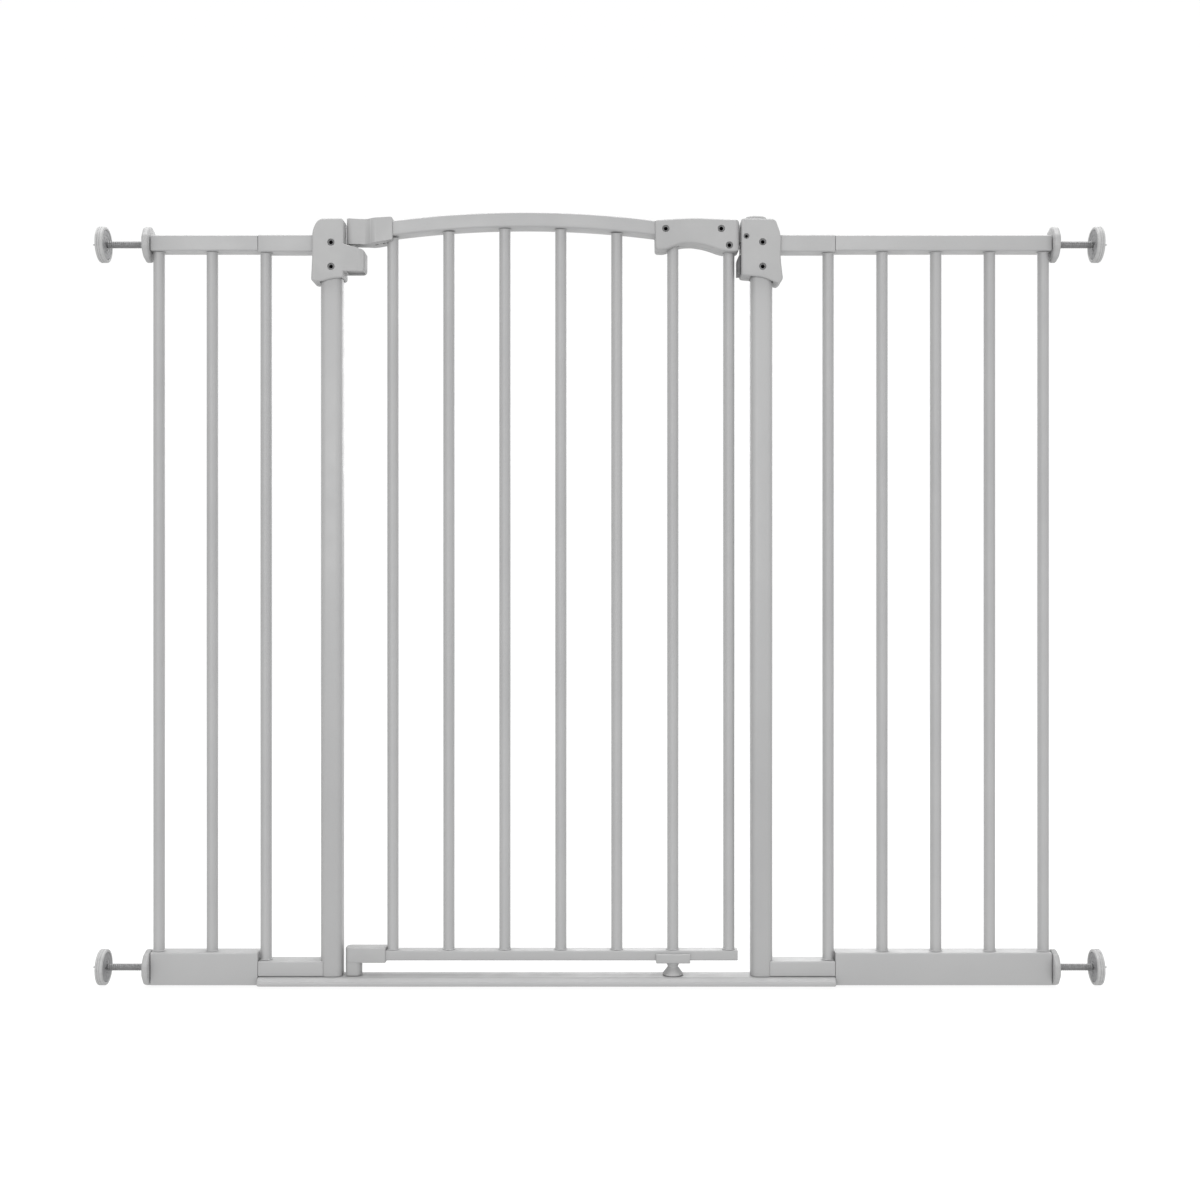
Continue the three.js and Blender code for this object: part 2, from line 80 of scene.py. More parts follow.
# ---- materials ----
class Shader:
    """Small helper round one material's node tree."""

    def __init__(self, name):
        self.material = bpy.data.materials.new(name)
        self.material.use_nodes = True
        self.nodes = self.material.node_tree.nodes
        self.links = self.material.node_tree.links
        self.bsdf = self.nodes["Principled BSDF"]
        self.where = self.nodes.new("ShaderNodeTexCoord").outputs["Object"]

    def set(self, **values):
        for key, value in values.items():
            self.bsdf.inputs[key.replace("_", " ")].default_value = value

    def feed(self, key, socket):
        self.links.new(socket, self.bsdf.inputs[key])

    def noise(self, scale, detail=2.0, stretch=None):
        node = self.nodes.new("ShaderNodeTexNoise")
        node.inputs["Scale"].default_value = scale
        node.inputs["Detail"].default_value = detail
        source = self.where
        if stretch:
            mapping = self.nodes.new("ShaderNodeMapping")
            mapping.inputs["Scale"].default_value = stretch
            self.links.new(source, mapping.inputs["Vector"])
            source = mapping.outputs["Vector"]
        self.links.new(source, node.inputs["Vector"])
        return node.outputs["Fac"]

    def ramp(self, fac, low, high, start=0.35, end=0.65):
        node = self.nodes.new("ShaderNodeValToRGB")
        for element, position, colour in zip(node.color_ramp.elements, (start, end), (low, high)):
            element.position = position
            element.color = (*colour, 1)
        self.links.new(fac, node.inputs["Fac"])
        return node.outputs["Color"]

    def spread(self, fac, low, high):
        """Maps the middle of a noise's range to low..high."""
        node = self.nodes.new("ShaderNodeMapRange")
        node.inputs["From Min"].default_value = 0.3
        node.inputs["From Max"].default_value = 0.7
        node.inputs["To Min"].default_value = low
        node.inputs["To Max"].default_value = high
        self.links.new(fac, node.inputs["Value"])
        return node.outputs["Result"]

    def mix(self, fac, source, colour):
        """Blends from a colour socket to one plain colour."""
        node = self.nodes.new("ShaderNodeMix")
        node.data_type = "RGBA"
        self.links.new(fac, node.inputs["Factor"])
        self.links.new(source, node.inputs[MIX_FIRST])
        node.inputs[MIX_SECOND].default_value = (*colour, 1)
        return node.outputs[MIX_RESULT]

    def bumps(self, *layers):
        """Each layer is (height socket, distance); later layers ride on the earlier ones."""
        normal = None
        for height, distance in layers:
            node = self.nodes.new("ShaderNodeBump")
            node.inputs["Strength"].default_value = 1.0
            node.inputs["Distance"].default_value = distance
            self.links.new(height, node.inputs["Height"])
            if normal:
                self.links.new(normal, node.inputs["Normal"])
            normal = node.outputs["Normal"]
        self.feed("Normal", normal)

    def pointiness(self):
        return self.nodes.new("ShaderNodeNewGeometry").outputs["Pointiness"]


def powder_coat():
    """Light grey powder coat: fine orange peel, faint patches, and a painted highlight that
    lightens convex edges.
    """
    s = Shader("painted_steel")
    patches = s.ramp(s.noise(9.0, 3.0), (0.3, 0.3, 0.302), (0.32, 0.32, 0.321))
    # painted highlight: convex edges, picked out by pointiness, are mixed towards a lighter grey as
    # if they caught the light
    edge = s.ramp(s.pointiness(), (0, 0, 0), (1, 1, 1), 0.53, 0.62)
    s.feed("Base Color", s.mix(edge, patches, (0.345, 0.345, 0.345)))
    s.feed("Roughness", s.spread(s.noise(60.0, 4.0), 0.36, 0.5))
    s.bumps((s.noise(420.0, 2.0), 0.05 * MM), (s.noise(2400.0, 3.0), 0.012 * MM))
    s.set(Coat_Weight=0.12, Coat_Roughness=0.3)
    return s.material


def moulded_plastic():
    """Matte grey moulding with spark-eroded grain and a painted highlight on convex edges."""
    s = Shader("moulded_plastic")
    patches = s.ramp(s.noise(14.0, 3.0), (0.302, 0.302, 0.303), (0.325, 0.325, 0.325))
    # painted highlight: convex edges, picked out by pointiness, are mixed towards a lighter grey as
    # if they caught the light
    edge = s.ramp(s.pointiness(), (0, 0, 0), (1, 1, 1), 0.54, 0.64)
    s.feed("Base Color", s.mix(edge, patches, (0.36, 0.36, 0.36)))
    s.feed("Roughness", s.spread(s.noise(120.0, 4.0), 0.48, 0.62))
    s.bumps((s.noise(1500.0, 4.0), 0.035 * MM), (s.noise(90.0, 2.0), 0.05 * MM))
    return s.material


def pad_rubber():
    """Soft light grey rubber with a dusty bloom."""
    s = Shader("pad_rubber")
    bloom = s.ramp(s.noise(180.0, 6.0), (0.33, 0.33, 0.33), (0.38, 0.38, 0.38))
    s.feed("Base Color", bloom)
    s.feed("Roughness", s.spread(s.noise(260.0, 4.0), 0.68, 0.85))
    s.bumps((s.noise(900.0, 5.0), 0.06 * MM),)
    return s.material


def dark_plastic(name, low, high, shine=0.5):
    """Fine-grained plastic between two dark tones that are painted shade; with no shine it reads as
    a deep hole.
    """
    s = Shader(name)
    s.set(Specular_IOR_Level=shine)
    tone = s.ramp(s.noise(200.0, 4.0), (low, low, low * 1.02), (high, high, high * 1.02))
    s.feed("Base Color", tone)
    s.feed("Roughness", s.spread(s.noise(300.0, 3.0), 0.5, 0.65))
    s.bumps((s.noise(1400.0, 4.0), 0.04 * MM),)
    return s.material


def zinc_steel(name, low, high, metallic):
    """Dull zinc plate: crystalline blotches and fine drawing lines."""
    s = Shader(name)
    blotch = s.ramp(s.noise(700.0, 5.0), (low,) * 3, (high, high, high * 1.02))
    s.feed("Base Color", blotch)
    s.feed("Roughness", s.spread(s.noise(500.0, 3.0), 0.34, 0.52))
    s.bumps((s.noise(900.0, 3.0, (0.15, 1, 1)), 0.03 * MM),)
    s.set(Metallic=metallic)
    return s.material


MATERIALS = {
    "painted_steel": powder_coat(),
    "moulded_plastic": moulded_plastic(),
    "pad_rubber": pad_rubber(),
    # painted shade: near-black, shineless floors put in screw sockets and holes so they read as
    # deep
    "painted_shade_black": dark_plastic("painted_shade_black", 0.001, 0.003, 0.0),
    # painted shade: darker grey for the disc on each pad's inward face, which faces away from the
    # light
    "pad_disc_painted_shade": dark_plastic("pad_disc_painted_shade", 0.17, 0.2),
    # painted shade: very dark tone for the strike plate, standing for the shade on the side face
    # beside the latch housing
    "dark_plastic": dark_plastic("dark_plastic", 0.07, 0.1),
    "spindle_steel": zinc_steel("spindle_steel", 0.13, 0.19, 0.35),
    # dull zinc steel, darkened further as painted shade of the screw's deep pocket
    "screw_steel": zinc_steel("screw_steel", 0.14, 0.18, 0.2),
}


# ---- mesh helpers ----
def bare_object(name, bm):
    mesh = bpy.data.meshes.new(name)
    bm.to_mesh(mesh)
    bm.free()
    obj = bpy.data.objects.new(name, mesh)
    bpy.context.collection.objects.link(obj)
    return obj


def mesh_object(name, bm, sharp_deg=SHARP_DEG):
    """Object from a bmesh: outward faces, smooth except across edges sharper than the angle."""
    bmesh.ops.remove_doubles(bm, verts=bm.verts, dist=1e-6)
    bmesh.ops.recalc_face_normals(bm, faces=bm.faces)
    obj = bare_object(name, bm)
    soften(obj, sharp_deg)
    return obj


def soften(obj, sharp_deg=SHARP_DEG):
    obj.data.shade_smooth()
    obj.data.set_sharp_from_angle(angle=math.radians(sharp_deg))


def stand_for(obj, node, slot, look=None):
    """Gives a piece its finish and lets it stand for one CAD node, on that node's body."""
    obj.data.materials.clear()
    obj.data.materials.append(MATERIALS[look or slot])
    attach(obj, NODE_BODY[node])
    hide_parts(node)


def middle_and_size(node):
    low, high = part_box(node)
    return (low + high) / 2, high - low


def skin(bm, low, high, inward=False):
    """Quads between two rings that have the same number of points."""
    for i in range(len(low)):
        j = (i + 1) % len(low)
        if inward:
            bm.faces.new((low[i], high[i], high[j], low[j]))
        else:
            bm.faces.new((low[i], low[j], high[j], high[i]))


def loft(rings):
    """Closed skin through rings that have the same number of points."""
    bm = bmesh.new()
    rows = [[bm.verts.new(p) for p in ring] for ring in rings]
    for low, high in zip(rows, rows[1:]):
        skin(bm, low, high)
    bm.faces.new(rows[0][::-1])
    bm.faces.new(rows[-1])
    return bm


def revolve(profile, sides=48, matrix=Matrix(), rim=None):
    """Turns (radius, height) pairs round local Z; rim(radius, height, turn) may reshape them."""
    rings = []
    for radius, height in profile:
        ring = []
        for i in range(sides):
            turn = 2 * math.pi * i / sides
            r = rim(radius, height, turn) if rim else radius
            ring.append(matrix @ Vector((r * math.cos(turn), r * math.sin(turn), height)))
        rings.append(ring)
    return loft(rings)


def rounded_ring(width, height, radius, steps=6):
    """Points round a rectangle with round corners, centred on the origin."""
    points = []
    x, y = width / 2 - radius, height / 2 - radius
    for quarter, (cx, cy) in enumerate(((x, y), (-x, y), (-x, -y), (x, -y))):
        for i in range(steps + 1):
            turn = math.pi / 2 * (quarter + i / steps)
            points.append((cx + radius * math.cos(turn), cy + radius * math.sin(turn)))
    return points


def beam(start, end, width, height, edge, place):
    """Tube of rounded section from start to end; place(a, b, along) puts a point in space."""
    lip = 0.5 * MM
    stations = ((start, lip), (start + lip * 0.3, lip * 0.3), (start + lip, 0),
                (end - lip, 0), (end - lip * 0.3, lip * 0.3), (end, lip))
    rings = []
    for along, inset in stations:
        ring = rounded_ring(width - 2 * inset, height - 2 * inset, edge - inset)
        rings.append([place(a, b, along) for a, b in ring])
    return loft(rings)


def bake(obj):
    """Makes a piece's modifiers permanent."""
    bpy.context.view_layer.update()
    depsgraph = bpy.context.evaluated_depsgraph_get()
    mesh = bpy.data.meshes.new_from_object(obj.evaluated_get(depsgraph))
    obj.modifiers.clear()
    obj.data = mesh


def combine(obj, other, operation):
    """Boolean of a piece with another object, which is used up."""
    change = obj.modifiers.new("combine", "BOOLEAN")
    change.operation = operation
    change.solver = "EXACT"
    change.object = other
    bake(obj)
    bpy.data.objects.remove(other)


def boolean_with(obj, other, operation):
    combine(obj, other, operation)
    soften(obj)


def carve(obj, cutters, sharp_deg=SHARP_DEG):
    """Cuts closed cutter meshes out of a piece."""
    for cutter in cutters:
        combine(obj, mesh_object("cutter", cutter), "DIFFERENCE")
    soften(obj, sharp_deg)
    return obj


def block(low, high):
    bm = bmesh.new()
    bmesh.ops.create_cube(bm, size=1.0)
    for vert in bm.verts:
        vert.co = Vector(lo + (c + 0.5) * (hi - lo) for c, lo, hi in zip(vert.co, low, high))
    return bm


def y_drill(x, z, front, profile, sides=32):
    """Round tool that goes into a front face at (x, z); profile is (radius, depth) pairs."""
    matrix = Matrix.Translation((x, front, z)) @ Matrix.Rotation(-math.pi / 2, 4, "X")
    return revolve(profile, sides, matrix)


def outline(corners, steps=8):
    """Closed outline in metres through (x, z, corner radius) corners given in millimetres."""
    points = []
    for index, (x, z, radius) in enumerate(corners):
        corner = Vector((x, z))
        before = Vector(corners[index - 1][:2])
        after = Vector(corners[(index + 1) % len(corners)][:2])
        enter = corner + (before - corner).normalized() * radius
        leave = corner + (after - corner).normalized() * radius
        for i in range(steps + 1):
            t = i / steps
            points.append((enter * (1 - t) ** 2 + corner * 2 * t * (1 - t) + leave * t * t) * MM)
    return points


def prism(name, near, far, edges, segments):
    """Solid between two rings of points, with a rounded edge round each end."""
    bm = bmesh.new()
    near = [bm.verts.new(p) for p in near]
    far = [bm.verts.new(p) for p in far]
    ends = (bm.faces.new(near), bm.faces.new(far[::-1]))
    skin(bm, near, far, inward=True)
    bmesh.ops.recalc_face_normals(bm, faces=bm.faces)
    for face, edge in zip(ends, edges):
        bmesh.ops.bevel(bm, geom=list(face.edges), offset=edge, offset_type="OFFSET",
                        segments=segments, profile=0.5, affect="EDGES", clamp_overlap=True)
    return mesh_object(name, bm)


def slab(name, points, front, back, edges):
    """Upright plate with an X-Z outline and rounded (front, back) edges."""
    near, far = ([(x, y, z) for x, z in points] for y in (front, back))
    return prism(name, near, far, edges, 5)


def column(name, plan, bottom, top, edges=(CUTTER_EDGE, CUTTER_EDGE)):
    """Upright prism with an X-Y outline and rounded (bottom, top) edges."""
    low, high = ([(x, y, z) for x, y in plan] for z in (bottom, top))
    return prism(name, low, high, edges, 4)


# ---- tubes ----
def along_x(y, z):
    return lambda a, b, x: (x, y + a, z + b)


def along_z(x, y):
    return lambda a, b, z: (x + a, y + b, z)


def x_rail(node):
    low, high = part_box(node)
    mid, size = middle_and_size(node)
    bm = beam(low.x, high.x, size.y, size.z, RAIL_EDGE, along_x(mid.y, mid.z))
    piece = mesh_object(node + "_tube", bm)
    if "stub" in node:  # the end is coped round the post
        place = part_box("left_post" if "left" in node else "right_post")
        centre = (place[0] + place[1]) / 2
        side = place[1].x - place[0].x + 0.4 * MM
        carve(piece, [beam(0, 0.8, side, side, POST_EDGE, along_z(centre.x, centre.y))])
    stand_for(piece, node, "painted_steel")


def z_bar(node):
    """Round bar with a small weld fillet at each end."""
    low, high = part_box(node)
    mid, size = middle_and_size(node)
    profile = []
    for t in (0, 0.25, 0.5, 0.75, 1):
        profile.append((size.x / 2 + WELD * (1 - t) ** 2, low.z + WELD * t))
    profile += [(radius, low.z + high.z - z) for radius, z in reversed(profile)]
    bm = revolve(profile, 40, Matrix.Translation((mid.x, mid.y, 0)))
    stand_for(mesh_object(node + "_tube", bm), node, "painted_steel")


def post(node):
    low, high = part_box(node)
    mid, size = middle_and_size(node)
    bm = beam(low.z, high.z, size.x, size.y, POST_EDGE, along_z(mid.x, mid.y))
    stand_for(mesh_object(node + "_tube", bm), node, "painted_steel")


def threshold():
    """Low ramped bar: rounded nose at front and back, soft crown edges."""
    low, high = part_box("threshold")
    half, crown = high.y, high.z
    foot, lip, edge, flat = 6 * MM, 3.2 * MM, 6.4 * MM, 11.5 * MM
    corners = [(-foot, 0, 0.6), (-half, lip, 0.5), (-half, edge, 1.2), (-flat, crown, 2.0),
               (flat, crown, 2.0), (half, edge, 1.2), (half, lip, 0.5), (foot, 0, 0.6)]
    section = outline([(y / MM, z / MM, r) for y, z, r in corners], 5)
    bevel = 0.5 * MM
    rings = []
    for x, inset in ((low.x, bevel), (low.x + bevel, 0), (high.x - bevel, 0), (high.x, bevel)):
        shrink = 1 - inset / half
        rings.append([(x, p.x * shrink, max(p.y * (1 - inset / crown), 0)) for p in section])
    piece = mesh_object("threshold_bar", loft(rings))
    socket = revolve([(3.8 * MM, 5.4 * MM), (3.8 * MM, crown - 0.4 * MM), (4.4 * MM, crown + MM)],
                     32, Matrix.Translation((HINGE_X, 0, 0)))
    carve(piece, [socket])
    stand_for(piece, "threshold", "painted_steel")


def arched_rail():
    """Door's curved top tube: a rounded section carried along an arc."""
    radius, centre_x, top, height, depth = 1.010, -0.0735, 0.755, 14.2 * MM, 21 * MM
    centre_z, mid_radius, steps = top - radius, radius - height / 2, 96
    low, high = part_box("door_top_rail")
    first = math.asin((low.x + MM - centre_x) / radius)
    last = math.asin((high.x - MM - centre_x) / radius)
    section = rounded_ring(depth, height, 1.8 * MM)
    rings = []
    for i in range(steps + 1):
        turn = first + (last - first) * i / steps
        rings.append([(centre_x + (mid_radius + b) * math.sin(turn), a,
                       centre_z + (mid_radius + b) * math.cos(turn)) for a, b in section])
    stand_for(mesh_object("arched_rail", loft(rings)), "door_top_rail", "painted_steel")


# ---- corner fittings ----
def fitting(node):
    """Radius, length and frame of a round corner piece; its local Z points to the wall."""
    low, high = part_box(node)
    side = -1 if low.x < 0 else 1
    start = high.x if side < 0 else low.x
    turn = Matrix.Rotation(side * math.pi / 2, 4, "Y")
    matrix = Matrix.Translation((start, 0, (low.z + high.z) / 2)) @ turn
    return (high.z - low.z) / 2, high.x - low.x, matrix


def hand_wheel(label):
    """Ten-sided wheel with round corners, a stepped hub and a shallow dished outer face."""
    radius, width, matrix = fitting(label + "_wheel")
    hub = 3.3 * MM
    side = 2 * math.pi / 10

    def facets(r, _height, turn):
        if r < radius * 0.85:
            return r
        off = (turn % side) - side / 2
        flat = math.cos(side / 2) / math.cos(off)
        return r * min(1, flat * 1.018)

    profile = [(hub, 0), (radius - 2.0 * MM, 0), (radius - 0.7 * MM, 0.5 * MM), (radius, 1.4 * MM),
               (radius, width - 1.6 * MM), (radius - 0.6 * MM, width - 0.7 * MM),
               (radius - 1.8 * MM, width - 0.1 * MM), (radius - 3.2 * MM, width),
               (radius - 4.2 * MM, width - 0.8 * MM), (9.0 * MM, width - 1.0 * MM),
               (8.2 * MM, width - 0.6 * MM), (6.4 * MM, width), (hub, width)]
    piece = mesh_object(label + "_hand_wheel", revolve(profile, 160, matrix, facets), 24)
    bore = revolve([(hub, -MM), (hub, width + MM)], 32, matrix)
    carve(piece, [bore], 40)
    stand_for(piece, label + "_wheel", "moulded_plastic")


def threaded_rod(label):
    """Spindle with a rolled rounded thread and a plain chamfered tip."""
    radius, length, matrix = fitting(label + "_spindle")
    depth, step = 0.22 * MM, 0.25 * MM

    def thread(r, height, turn):
        wave = math.cos(2 * math.pi * (height / THREAD_PITCH) - turn)
        ends = min(1, max(0, min(height, length - height) / THREAD_PITCH))
        return r - depth * ends * (0.5 - 0.5 * wave)

    count = int(length / step)
    profile = [(radius, length * i / count) for i in range(count + 1)]
    profile = [(radius - 0.5 * MM, 0)] + profile[2:-2] + [(radius - 0.5 * MM, length)]
    piece = mesh_object(label + "_threaded_rod", revolve(profile, 24, matrix, thread), 80)
    stand_for(piece, label + "_spindle", "spindle_steel")


def wall_pad(label):
    """Soft cup with a grooved rim, grip rings on the wall face and a hard disc on the rail side,
    coloured darker as painted shade of that inward face.
    """
    radius, reach, matrix = fitting(label + "_pad")
    tip = 7 * MM
    face = reach - tip
    profile = [(1.0 * MM, 1.6 * MM), (radius - 3.0 * MM, 1.6 * MM), (radius - 2.9 * MM, 0.3 * MM),
               (radius - 2.4 * MM, 0), (radius - 1.0 * MM, 0.1 * MM), (radius - 0.3 * MM, 0.5 * MM),
               (radius, 1.2 * MM)]
    for groove in (2.4 * MM, 4.4 * MM):
        profile += [(radius, groove), (radius - 0.45 * MM, groove + 0.25 * MM),
                    (radius - 0.45 * MM, groove + 0.5 * MM), (radius, groove + 0.75 * MM)]
    profile += [(radius, face - 0.9 * MM), (radius - 0.3 * MM, face - 0.3 * MM),
                (radius - 1.0 * MM, face)]
    ring = radius - 2.4 * MM
    while ring > 4 * MM:
        profile += [(ring, face), (ring - 0.5 * MM, face - 0.7 * MM),
                    (ring - 1.3 * MM, face - 0.7 * MM), (ring - 1.8 * MM, face)]
        ring -= 2.8 * MM
    profile += [(1.7 * MM, face), (1.5 * MM, face + 1.5 * MM), (1.2 * MM, face + 4 * MM),
                (0.5 * MM, face + tip - 0.4 * MM), (0.1 * MM, face + tip)]
    piece = mesh_object(label + "_wall_pad", revolve(profile, 96, matrix), 32)
    stand_for(piece, label + "_pad", "pad_rubber")

    disc_radius = radius - 3.15 * MM
    disc = [(1.0 * MM, 1.5 * MM), (disc_radius, 1.5 * MM), (disc_radius, 0.7 * MM),
            (disc_radius - 0.3 * MM, 0.4 * MM), (9.2 * MM, 0.45 * MM), (9.0 * MM, 0.7 * MM),
            (8.4 * MM, 0.7 * MM), (8.2 * MM, 0.45 * MM), (5.2 * MM, 0.4 * MM), (4.4 * MM, 0.1 * MM),
            (1.0 * MM, 0.1 * MM)]
    piece = mesh_object(label + "_pad_disc_painted_shade", revolve(disc, 72, matrix), 32)
    notches = []
    for quarter in range(4):
        turn = matrix @ Matrix.Rotation(math.pi / 2 * quarter, 4, "Z")
        notch = block((4.3 * MM, -1.0 * MM, -MM), (6.3 * MM, 1.0 * MM, 1.2 * MM))
        notch.transform(turn)
        notches.append(notch)
    carve(piece, notches, 32)
    # the disc's darker grey is painted shade of the pad's inward face
    stand_for(piece, label + "_pad", "pad_rubber", "pad_disc_painted_shade")


# ---- plastic housings ----
HINGE_HOUSING = (
    (-279.7, 736.8, 5), (-274.2, 748.4, 6), (-249.2, 748.8, 4), (-249.2, 691.2, 2.6),
    (-262, 689.8, 5), (-271.5, 687, 4), (-281, 687, 4), (-279.7, 712.6, 8),
)
HINGE_ARM = (
    (-262, 727.6, 3), (-228.6, 717.8, 4), (-228.6, 697, 5), (-262, 697, 3),
)
HINGE_ARM_PLAN = (
    (-262, -13.5, 1), (-228.6, -13.5, 8), (-228.6, 8, 4), (-262, 8, 1),
)
LATCH_HOUSING = (
    (137.3, 748.4, 2.5), (170.4, 748, 4), (176.2, 731.8, 6), (175.4, 710.8, 8), (178, 689.2, 3),
    (173.6, 685, 2.8), (158.4, 691.4, 6), (137.3, 693.4, 2.5),
)
HANDLE = (
    (53.6, 747, 2.5), (90, 749.2, 12), (135.6, 747.2, 4), (135.8, 717.6, 3.5), (130, 716.2, 2),
    (118, 717.2, 5), (103, 722.6, 6), (90, 724.8, 5), (78, 724.2, 5), (63, 718, 4),
    (53.8, 718.4, 3),
)


# outlines seen from above that round the upright ends of the housings
HINGE_PLAN = ((-290, -14, 2), (-249.2, -14, 3), (-249.2, 14, 3), (-290, 14, 2))
LATCH_PLAN = ((137.3, -13.8, 4), (190, -13.8, 2), (190, 13.8, 2), (137.3, 13.8, 4))
HANDLE_PLAN = ((40, -13.2, 2), (135.8, -13.2, 7), (135.8, 13.2, 7), (40, 13.2, 2))


def screw_drill(node):
    """Round pocket in front of a screw, with a softened mouth."""
    low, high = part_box(node)
    x, z = (low.x + high.x) / 2, (low.z + high.z) / 2
    front = low.y - 0.9 * MM
    wide = (high.z - low.z) / 2 + 0.35 * MM
    profile = [(wide + 1.5 * MM, -MM), (wide + 0.45 * MM, -0.02 * MM),
               (wide + 0.15 * MM, 0.2 * MM), (wide, 0.5 * MM),
               (wide, high.y - front + 0.25 * MM)]
    return y_drill(x, z, front, profile)


def screw(node):
    """Dull steel head at the bottom of its pocket, darkened as painted shade of the pocket, with a
    wide six-lobed socket whose near-black floor is painted shade.
    """
    low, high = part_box(node)
    x, z = (low.x + high.x) / 2, (low.z + high.z) / 2
    radius, length = (high.z - low.z) / 2, high.y - low.y
    socket = 0.7 * radius
    profile = [(socket, 0.1 * MM), (radius - 0.5 * MM, 0), (radius - 0.15 * MM, 0.15 * MM),
               (radius, 0.4 * MM), (radius, length)]
    piece = mesh_object(node + "_head", y_drill(x, z, low.y, profile, 40))
    turn = Matrix.Translation((x, low.y, z)) @ Matrix.Rotation(-math.pi / 2, 4, "X")

    def lobes(r, _height, angle):
        return r * (0.95 + 0.05 * math.cos(6 * angle))

    carve(piece, [revolve([(socket, -MM), (socket, 0.6 * MM)], 72, turn, lobes)])
    # the head's dark grey is partly dull steel and partly painted shade of its deep pocket
    stand_for(piece, node, "screw_steel")
    # painted shade: a near-black disc at the socket floor makes the socket read as a deep hole
    floor = [(0.2 * MM, 0.5 * MM), (socket * 0.5, 0.5 * MM), (socket * 0.88, 0.3 * MM),
             (socket * 0.88, 0.6 * MM)]
    plug = mesh_object(node + "_socket", revolve(floor, 36, turn))
    stand_for(plug, node, "screw_steel", "painted_shade_black")


def shells(label, corners, pockets, plan, extra=None):
    """Front and back half-shells of one housing, with the same hidden pockets.

    plan rounds the upright ends; extra(front, back, edges) may give a piece that is moulded on.
    """
    points = outline(corners)
    screws = sorted(n for n in frame["nodes"] if n.startswith(label + "_screw"))
    for side in ("front", "back"):
        node = f"{label}_{side}"
        low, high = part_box(node)
        edges = (SHELL_EDGE, SEAM_EDGE) if side == "front" else (SEAM_EDGE, SHELL_EDGE)
        piece = slab(f"{label}_{side}_shell", points, low.y, high.y, edges)
        boolean_with(piece, column("cutter", outline(plan), *TALL_CUTTER), "INTERSECT")
        if extra:
            boolean_with(piece, extra(low.y, high.y, edges), "UNION")
        drills = [screw_drill(n) for n in screws] if side == "front" else []
        carve(piece, [make() for make in pockets] + drills)
        stand_for(piece, node, "moulded_plastic")
    for node in screws:
        screw(node)


def around(node):
    """Maker of a block that clears a node on every side."""
    low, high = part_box(node)
    gap = Vector((CLEARANCE,) * 3)
    return lambda: block(low - gap, high + gap)


def round_pocket(x, radius, bottom, top, squash=1.0):
    """Maker of an upright round or oval cutter at y = 0."""
    matrix = Matrix.Translation((x, 0, 0)) @ Matrix.Diagonal((1, squash, 1, 1))
    return lambda: revolve([(radius, bottom), (radius, top)], 48, matrix)


def hinge_arm(front, back, edges):
    """Arm under the door's knuckle: a side view crossed with a rounded plan."""
    arm = slab("hinge_arm", outline(HINGE_ARM), front, back, edges)
    boolean_with(arm, column("cutter", outline(HINGE_ARM_PLAN), *TALL_CUTTER), "INTERSECT")
    recess = block((-0.2465, -11.5 * MM, 0.69), (-0.2305, 6.2 * MM, 0.6993))
    return carve(arm, [recess])


def bar_pocket(node, extra):
    """Maker of the round pocket that takes a bar's upper end, with some room over it."""
    low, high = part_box(node)
    return round_pocket((low.x + high.x) / 2, BAR_POCKET, TALL_CUTTER[0], high.z + extra)


def housings():
    tall = TALL_CUTTER[1]
    shells("hinge_housing", HINGE_HOUSING, [
        around("left_post"), around("left_stub_top_rail"),
        round_pocket(HINGE_X, 4.4 * MM, 0.6995, tall),
    ], HINGE_PLAN, hinge_arm)

    mid, size = middle_and_size("lock_button")
    button_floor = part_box("lock_button")[0].z - 3.3 * MM
    bolt_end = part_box("latch_slider")[1].x + 2 * MM
    shells("latch_housing", LATCH_HOUSING, [
        around("right_post"), around("right_stub_top_rail"),
        lambda: block((0.13, -6 * MM, BOLT_LOW - MM), (bolt_end, 6 * MM, BOLT_HIGH + MM)),
        round_pocket(mid.x, size.x / 2 + 0.5 * MM, button_floor, tall, size.y / size.x),
    ], LATCH_PLAN)

    rail_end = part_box("door_top_rail")[1].x + MM
    drawn = BOLT_TRAVEL + CLEARANCE  # room on the left for the slider when it is drawn
    shells("handle", HANDLE, [
        bar_pocket("door_bar_6", 0.6 * MM), bar_pocket("door_bar_7", 0.3 * MM),
        lambda: block((0.0, -RAIL_POCKET, 0.7307), (rail_end, RAIL_POCKET, 0.7467)),
        lambda: block((BOLT_START - drawn, -5.6 * MM, BOLT_LOW - CLEARANCE),
                      (0.15, 5.6 * MM, BOLT_HIGH + CLEARANCE)),
        lambda: block((STEM[0] - drawn, -3.6 * MM, BOLT_HIGH),
                      (STEM[1] + CLEARANCE, 3.6 * MM, 0.743)),
        lambda: block((THUMB[0] - drawn, -7.1 * MM, 0.7427),
                      (THUMB[1] + CLEARANCE, 7.1 * MM, tall)),
    ], HANDLE_PLAN)


def lock_button():
    """Oval button with a domed, slightly dished top."""
    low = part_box("lock_button")[0]
    mid, size = middle_and_size("lock_button")
    radius, height = size.x / 2, size.z
    oval = Matrix.Diagonal((1, size.y / size.x, 1, 1))
    matrix = Matrix.Translation((mid.x, mid.y, low.z)) @ oval
    dome, run, steps = 2.2 * MM, 7 * MM, 12
    profile = [(radius - 0.3 * MM, 0), (radius, 0.3 * MM), (radius, height - dome - 0.4 * MM)]
    for i in range(1, steps + 1):
        turn = math.pi / 2 * i / steps
        profile.append((radius - run * (1 - math.cos(turn)),
                        height - dome * (1 - math.sin(turn))))
    profile.append((0.1 * MM, height))
    piece = mesh_object("lock_button_cap", revolve(profile, 64, matrix))
    stand_for(piece, "lock_button", "moulded_plastic")


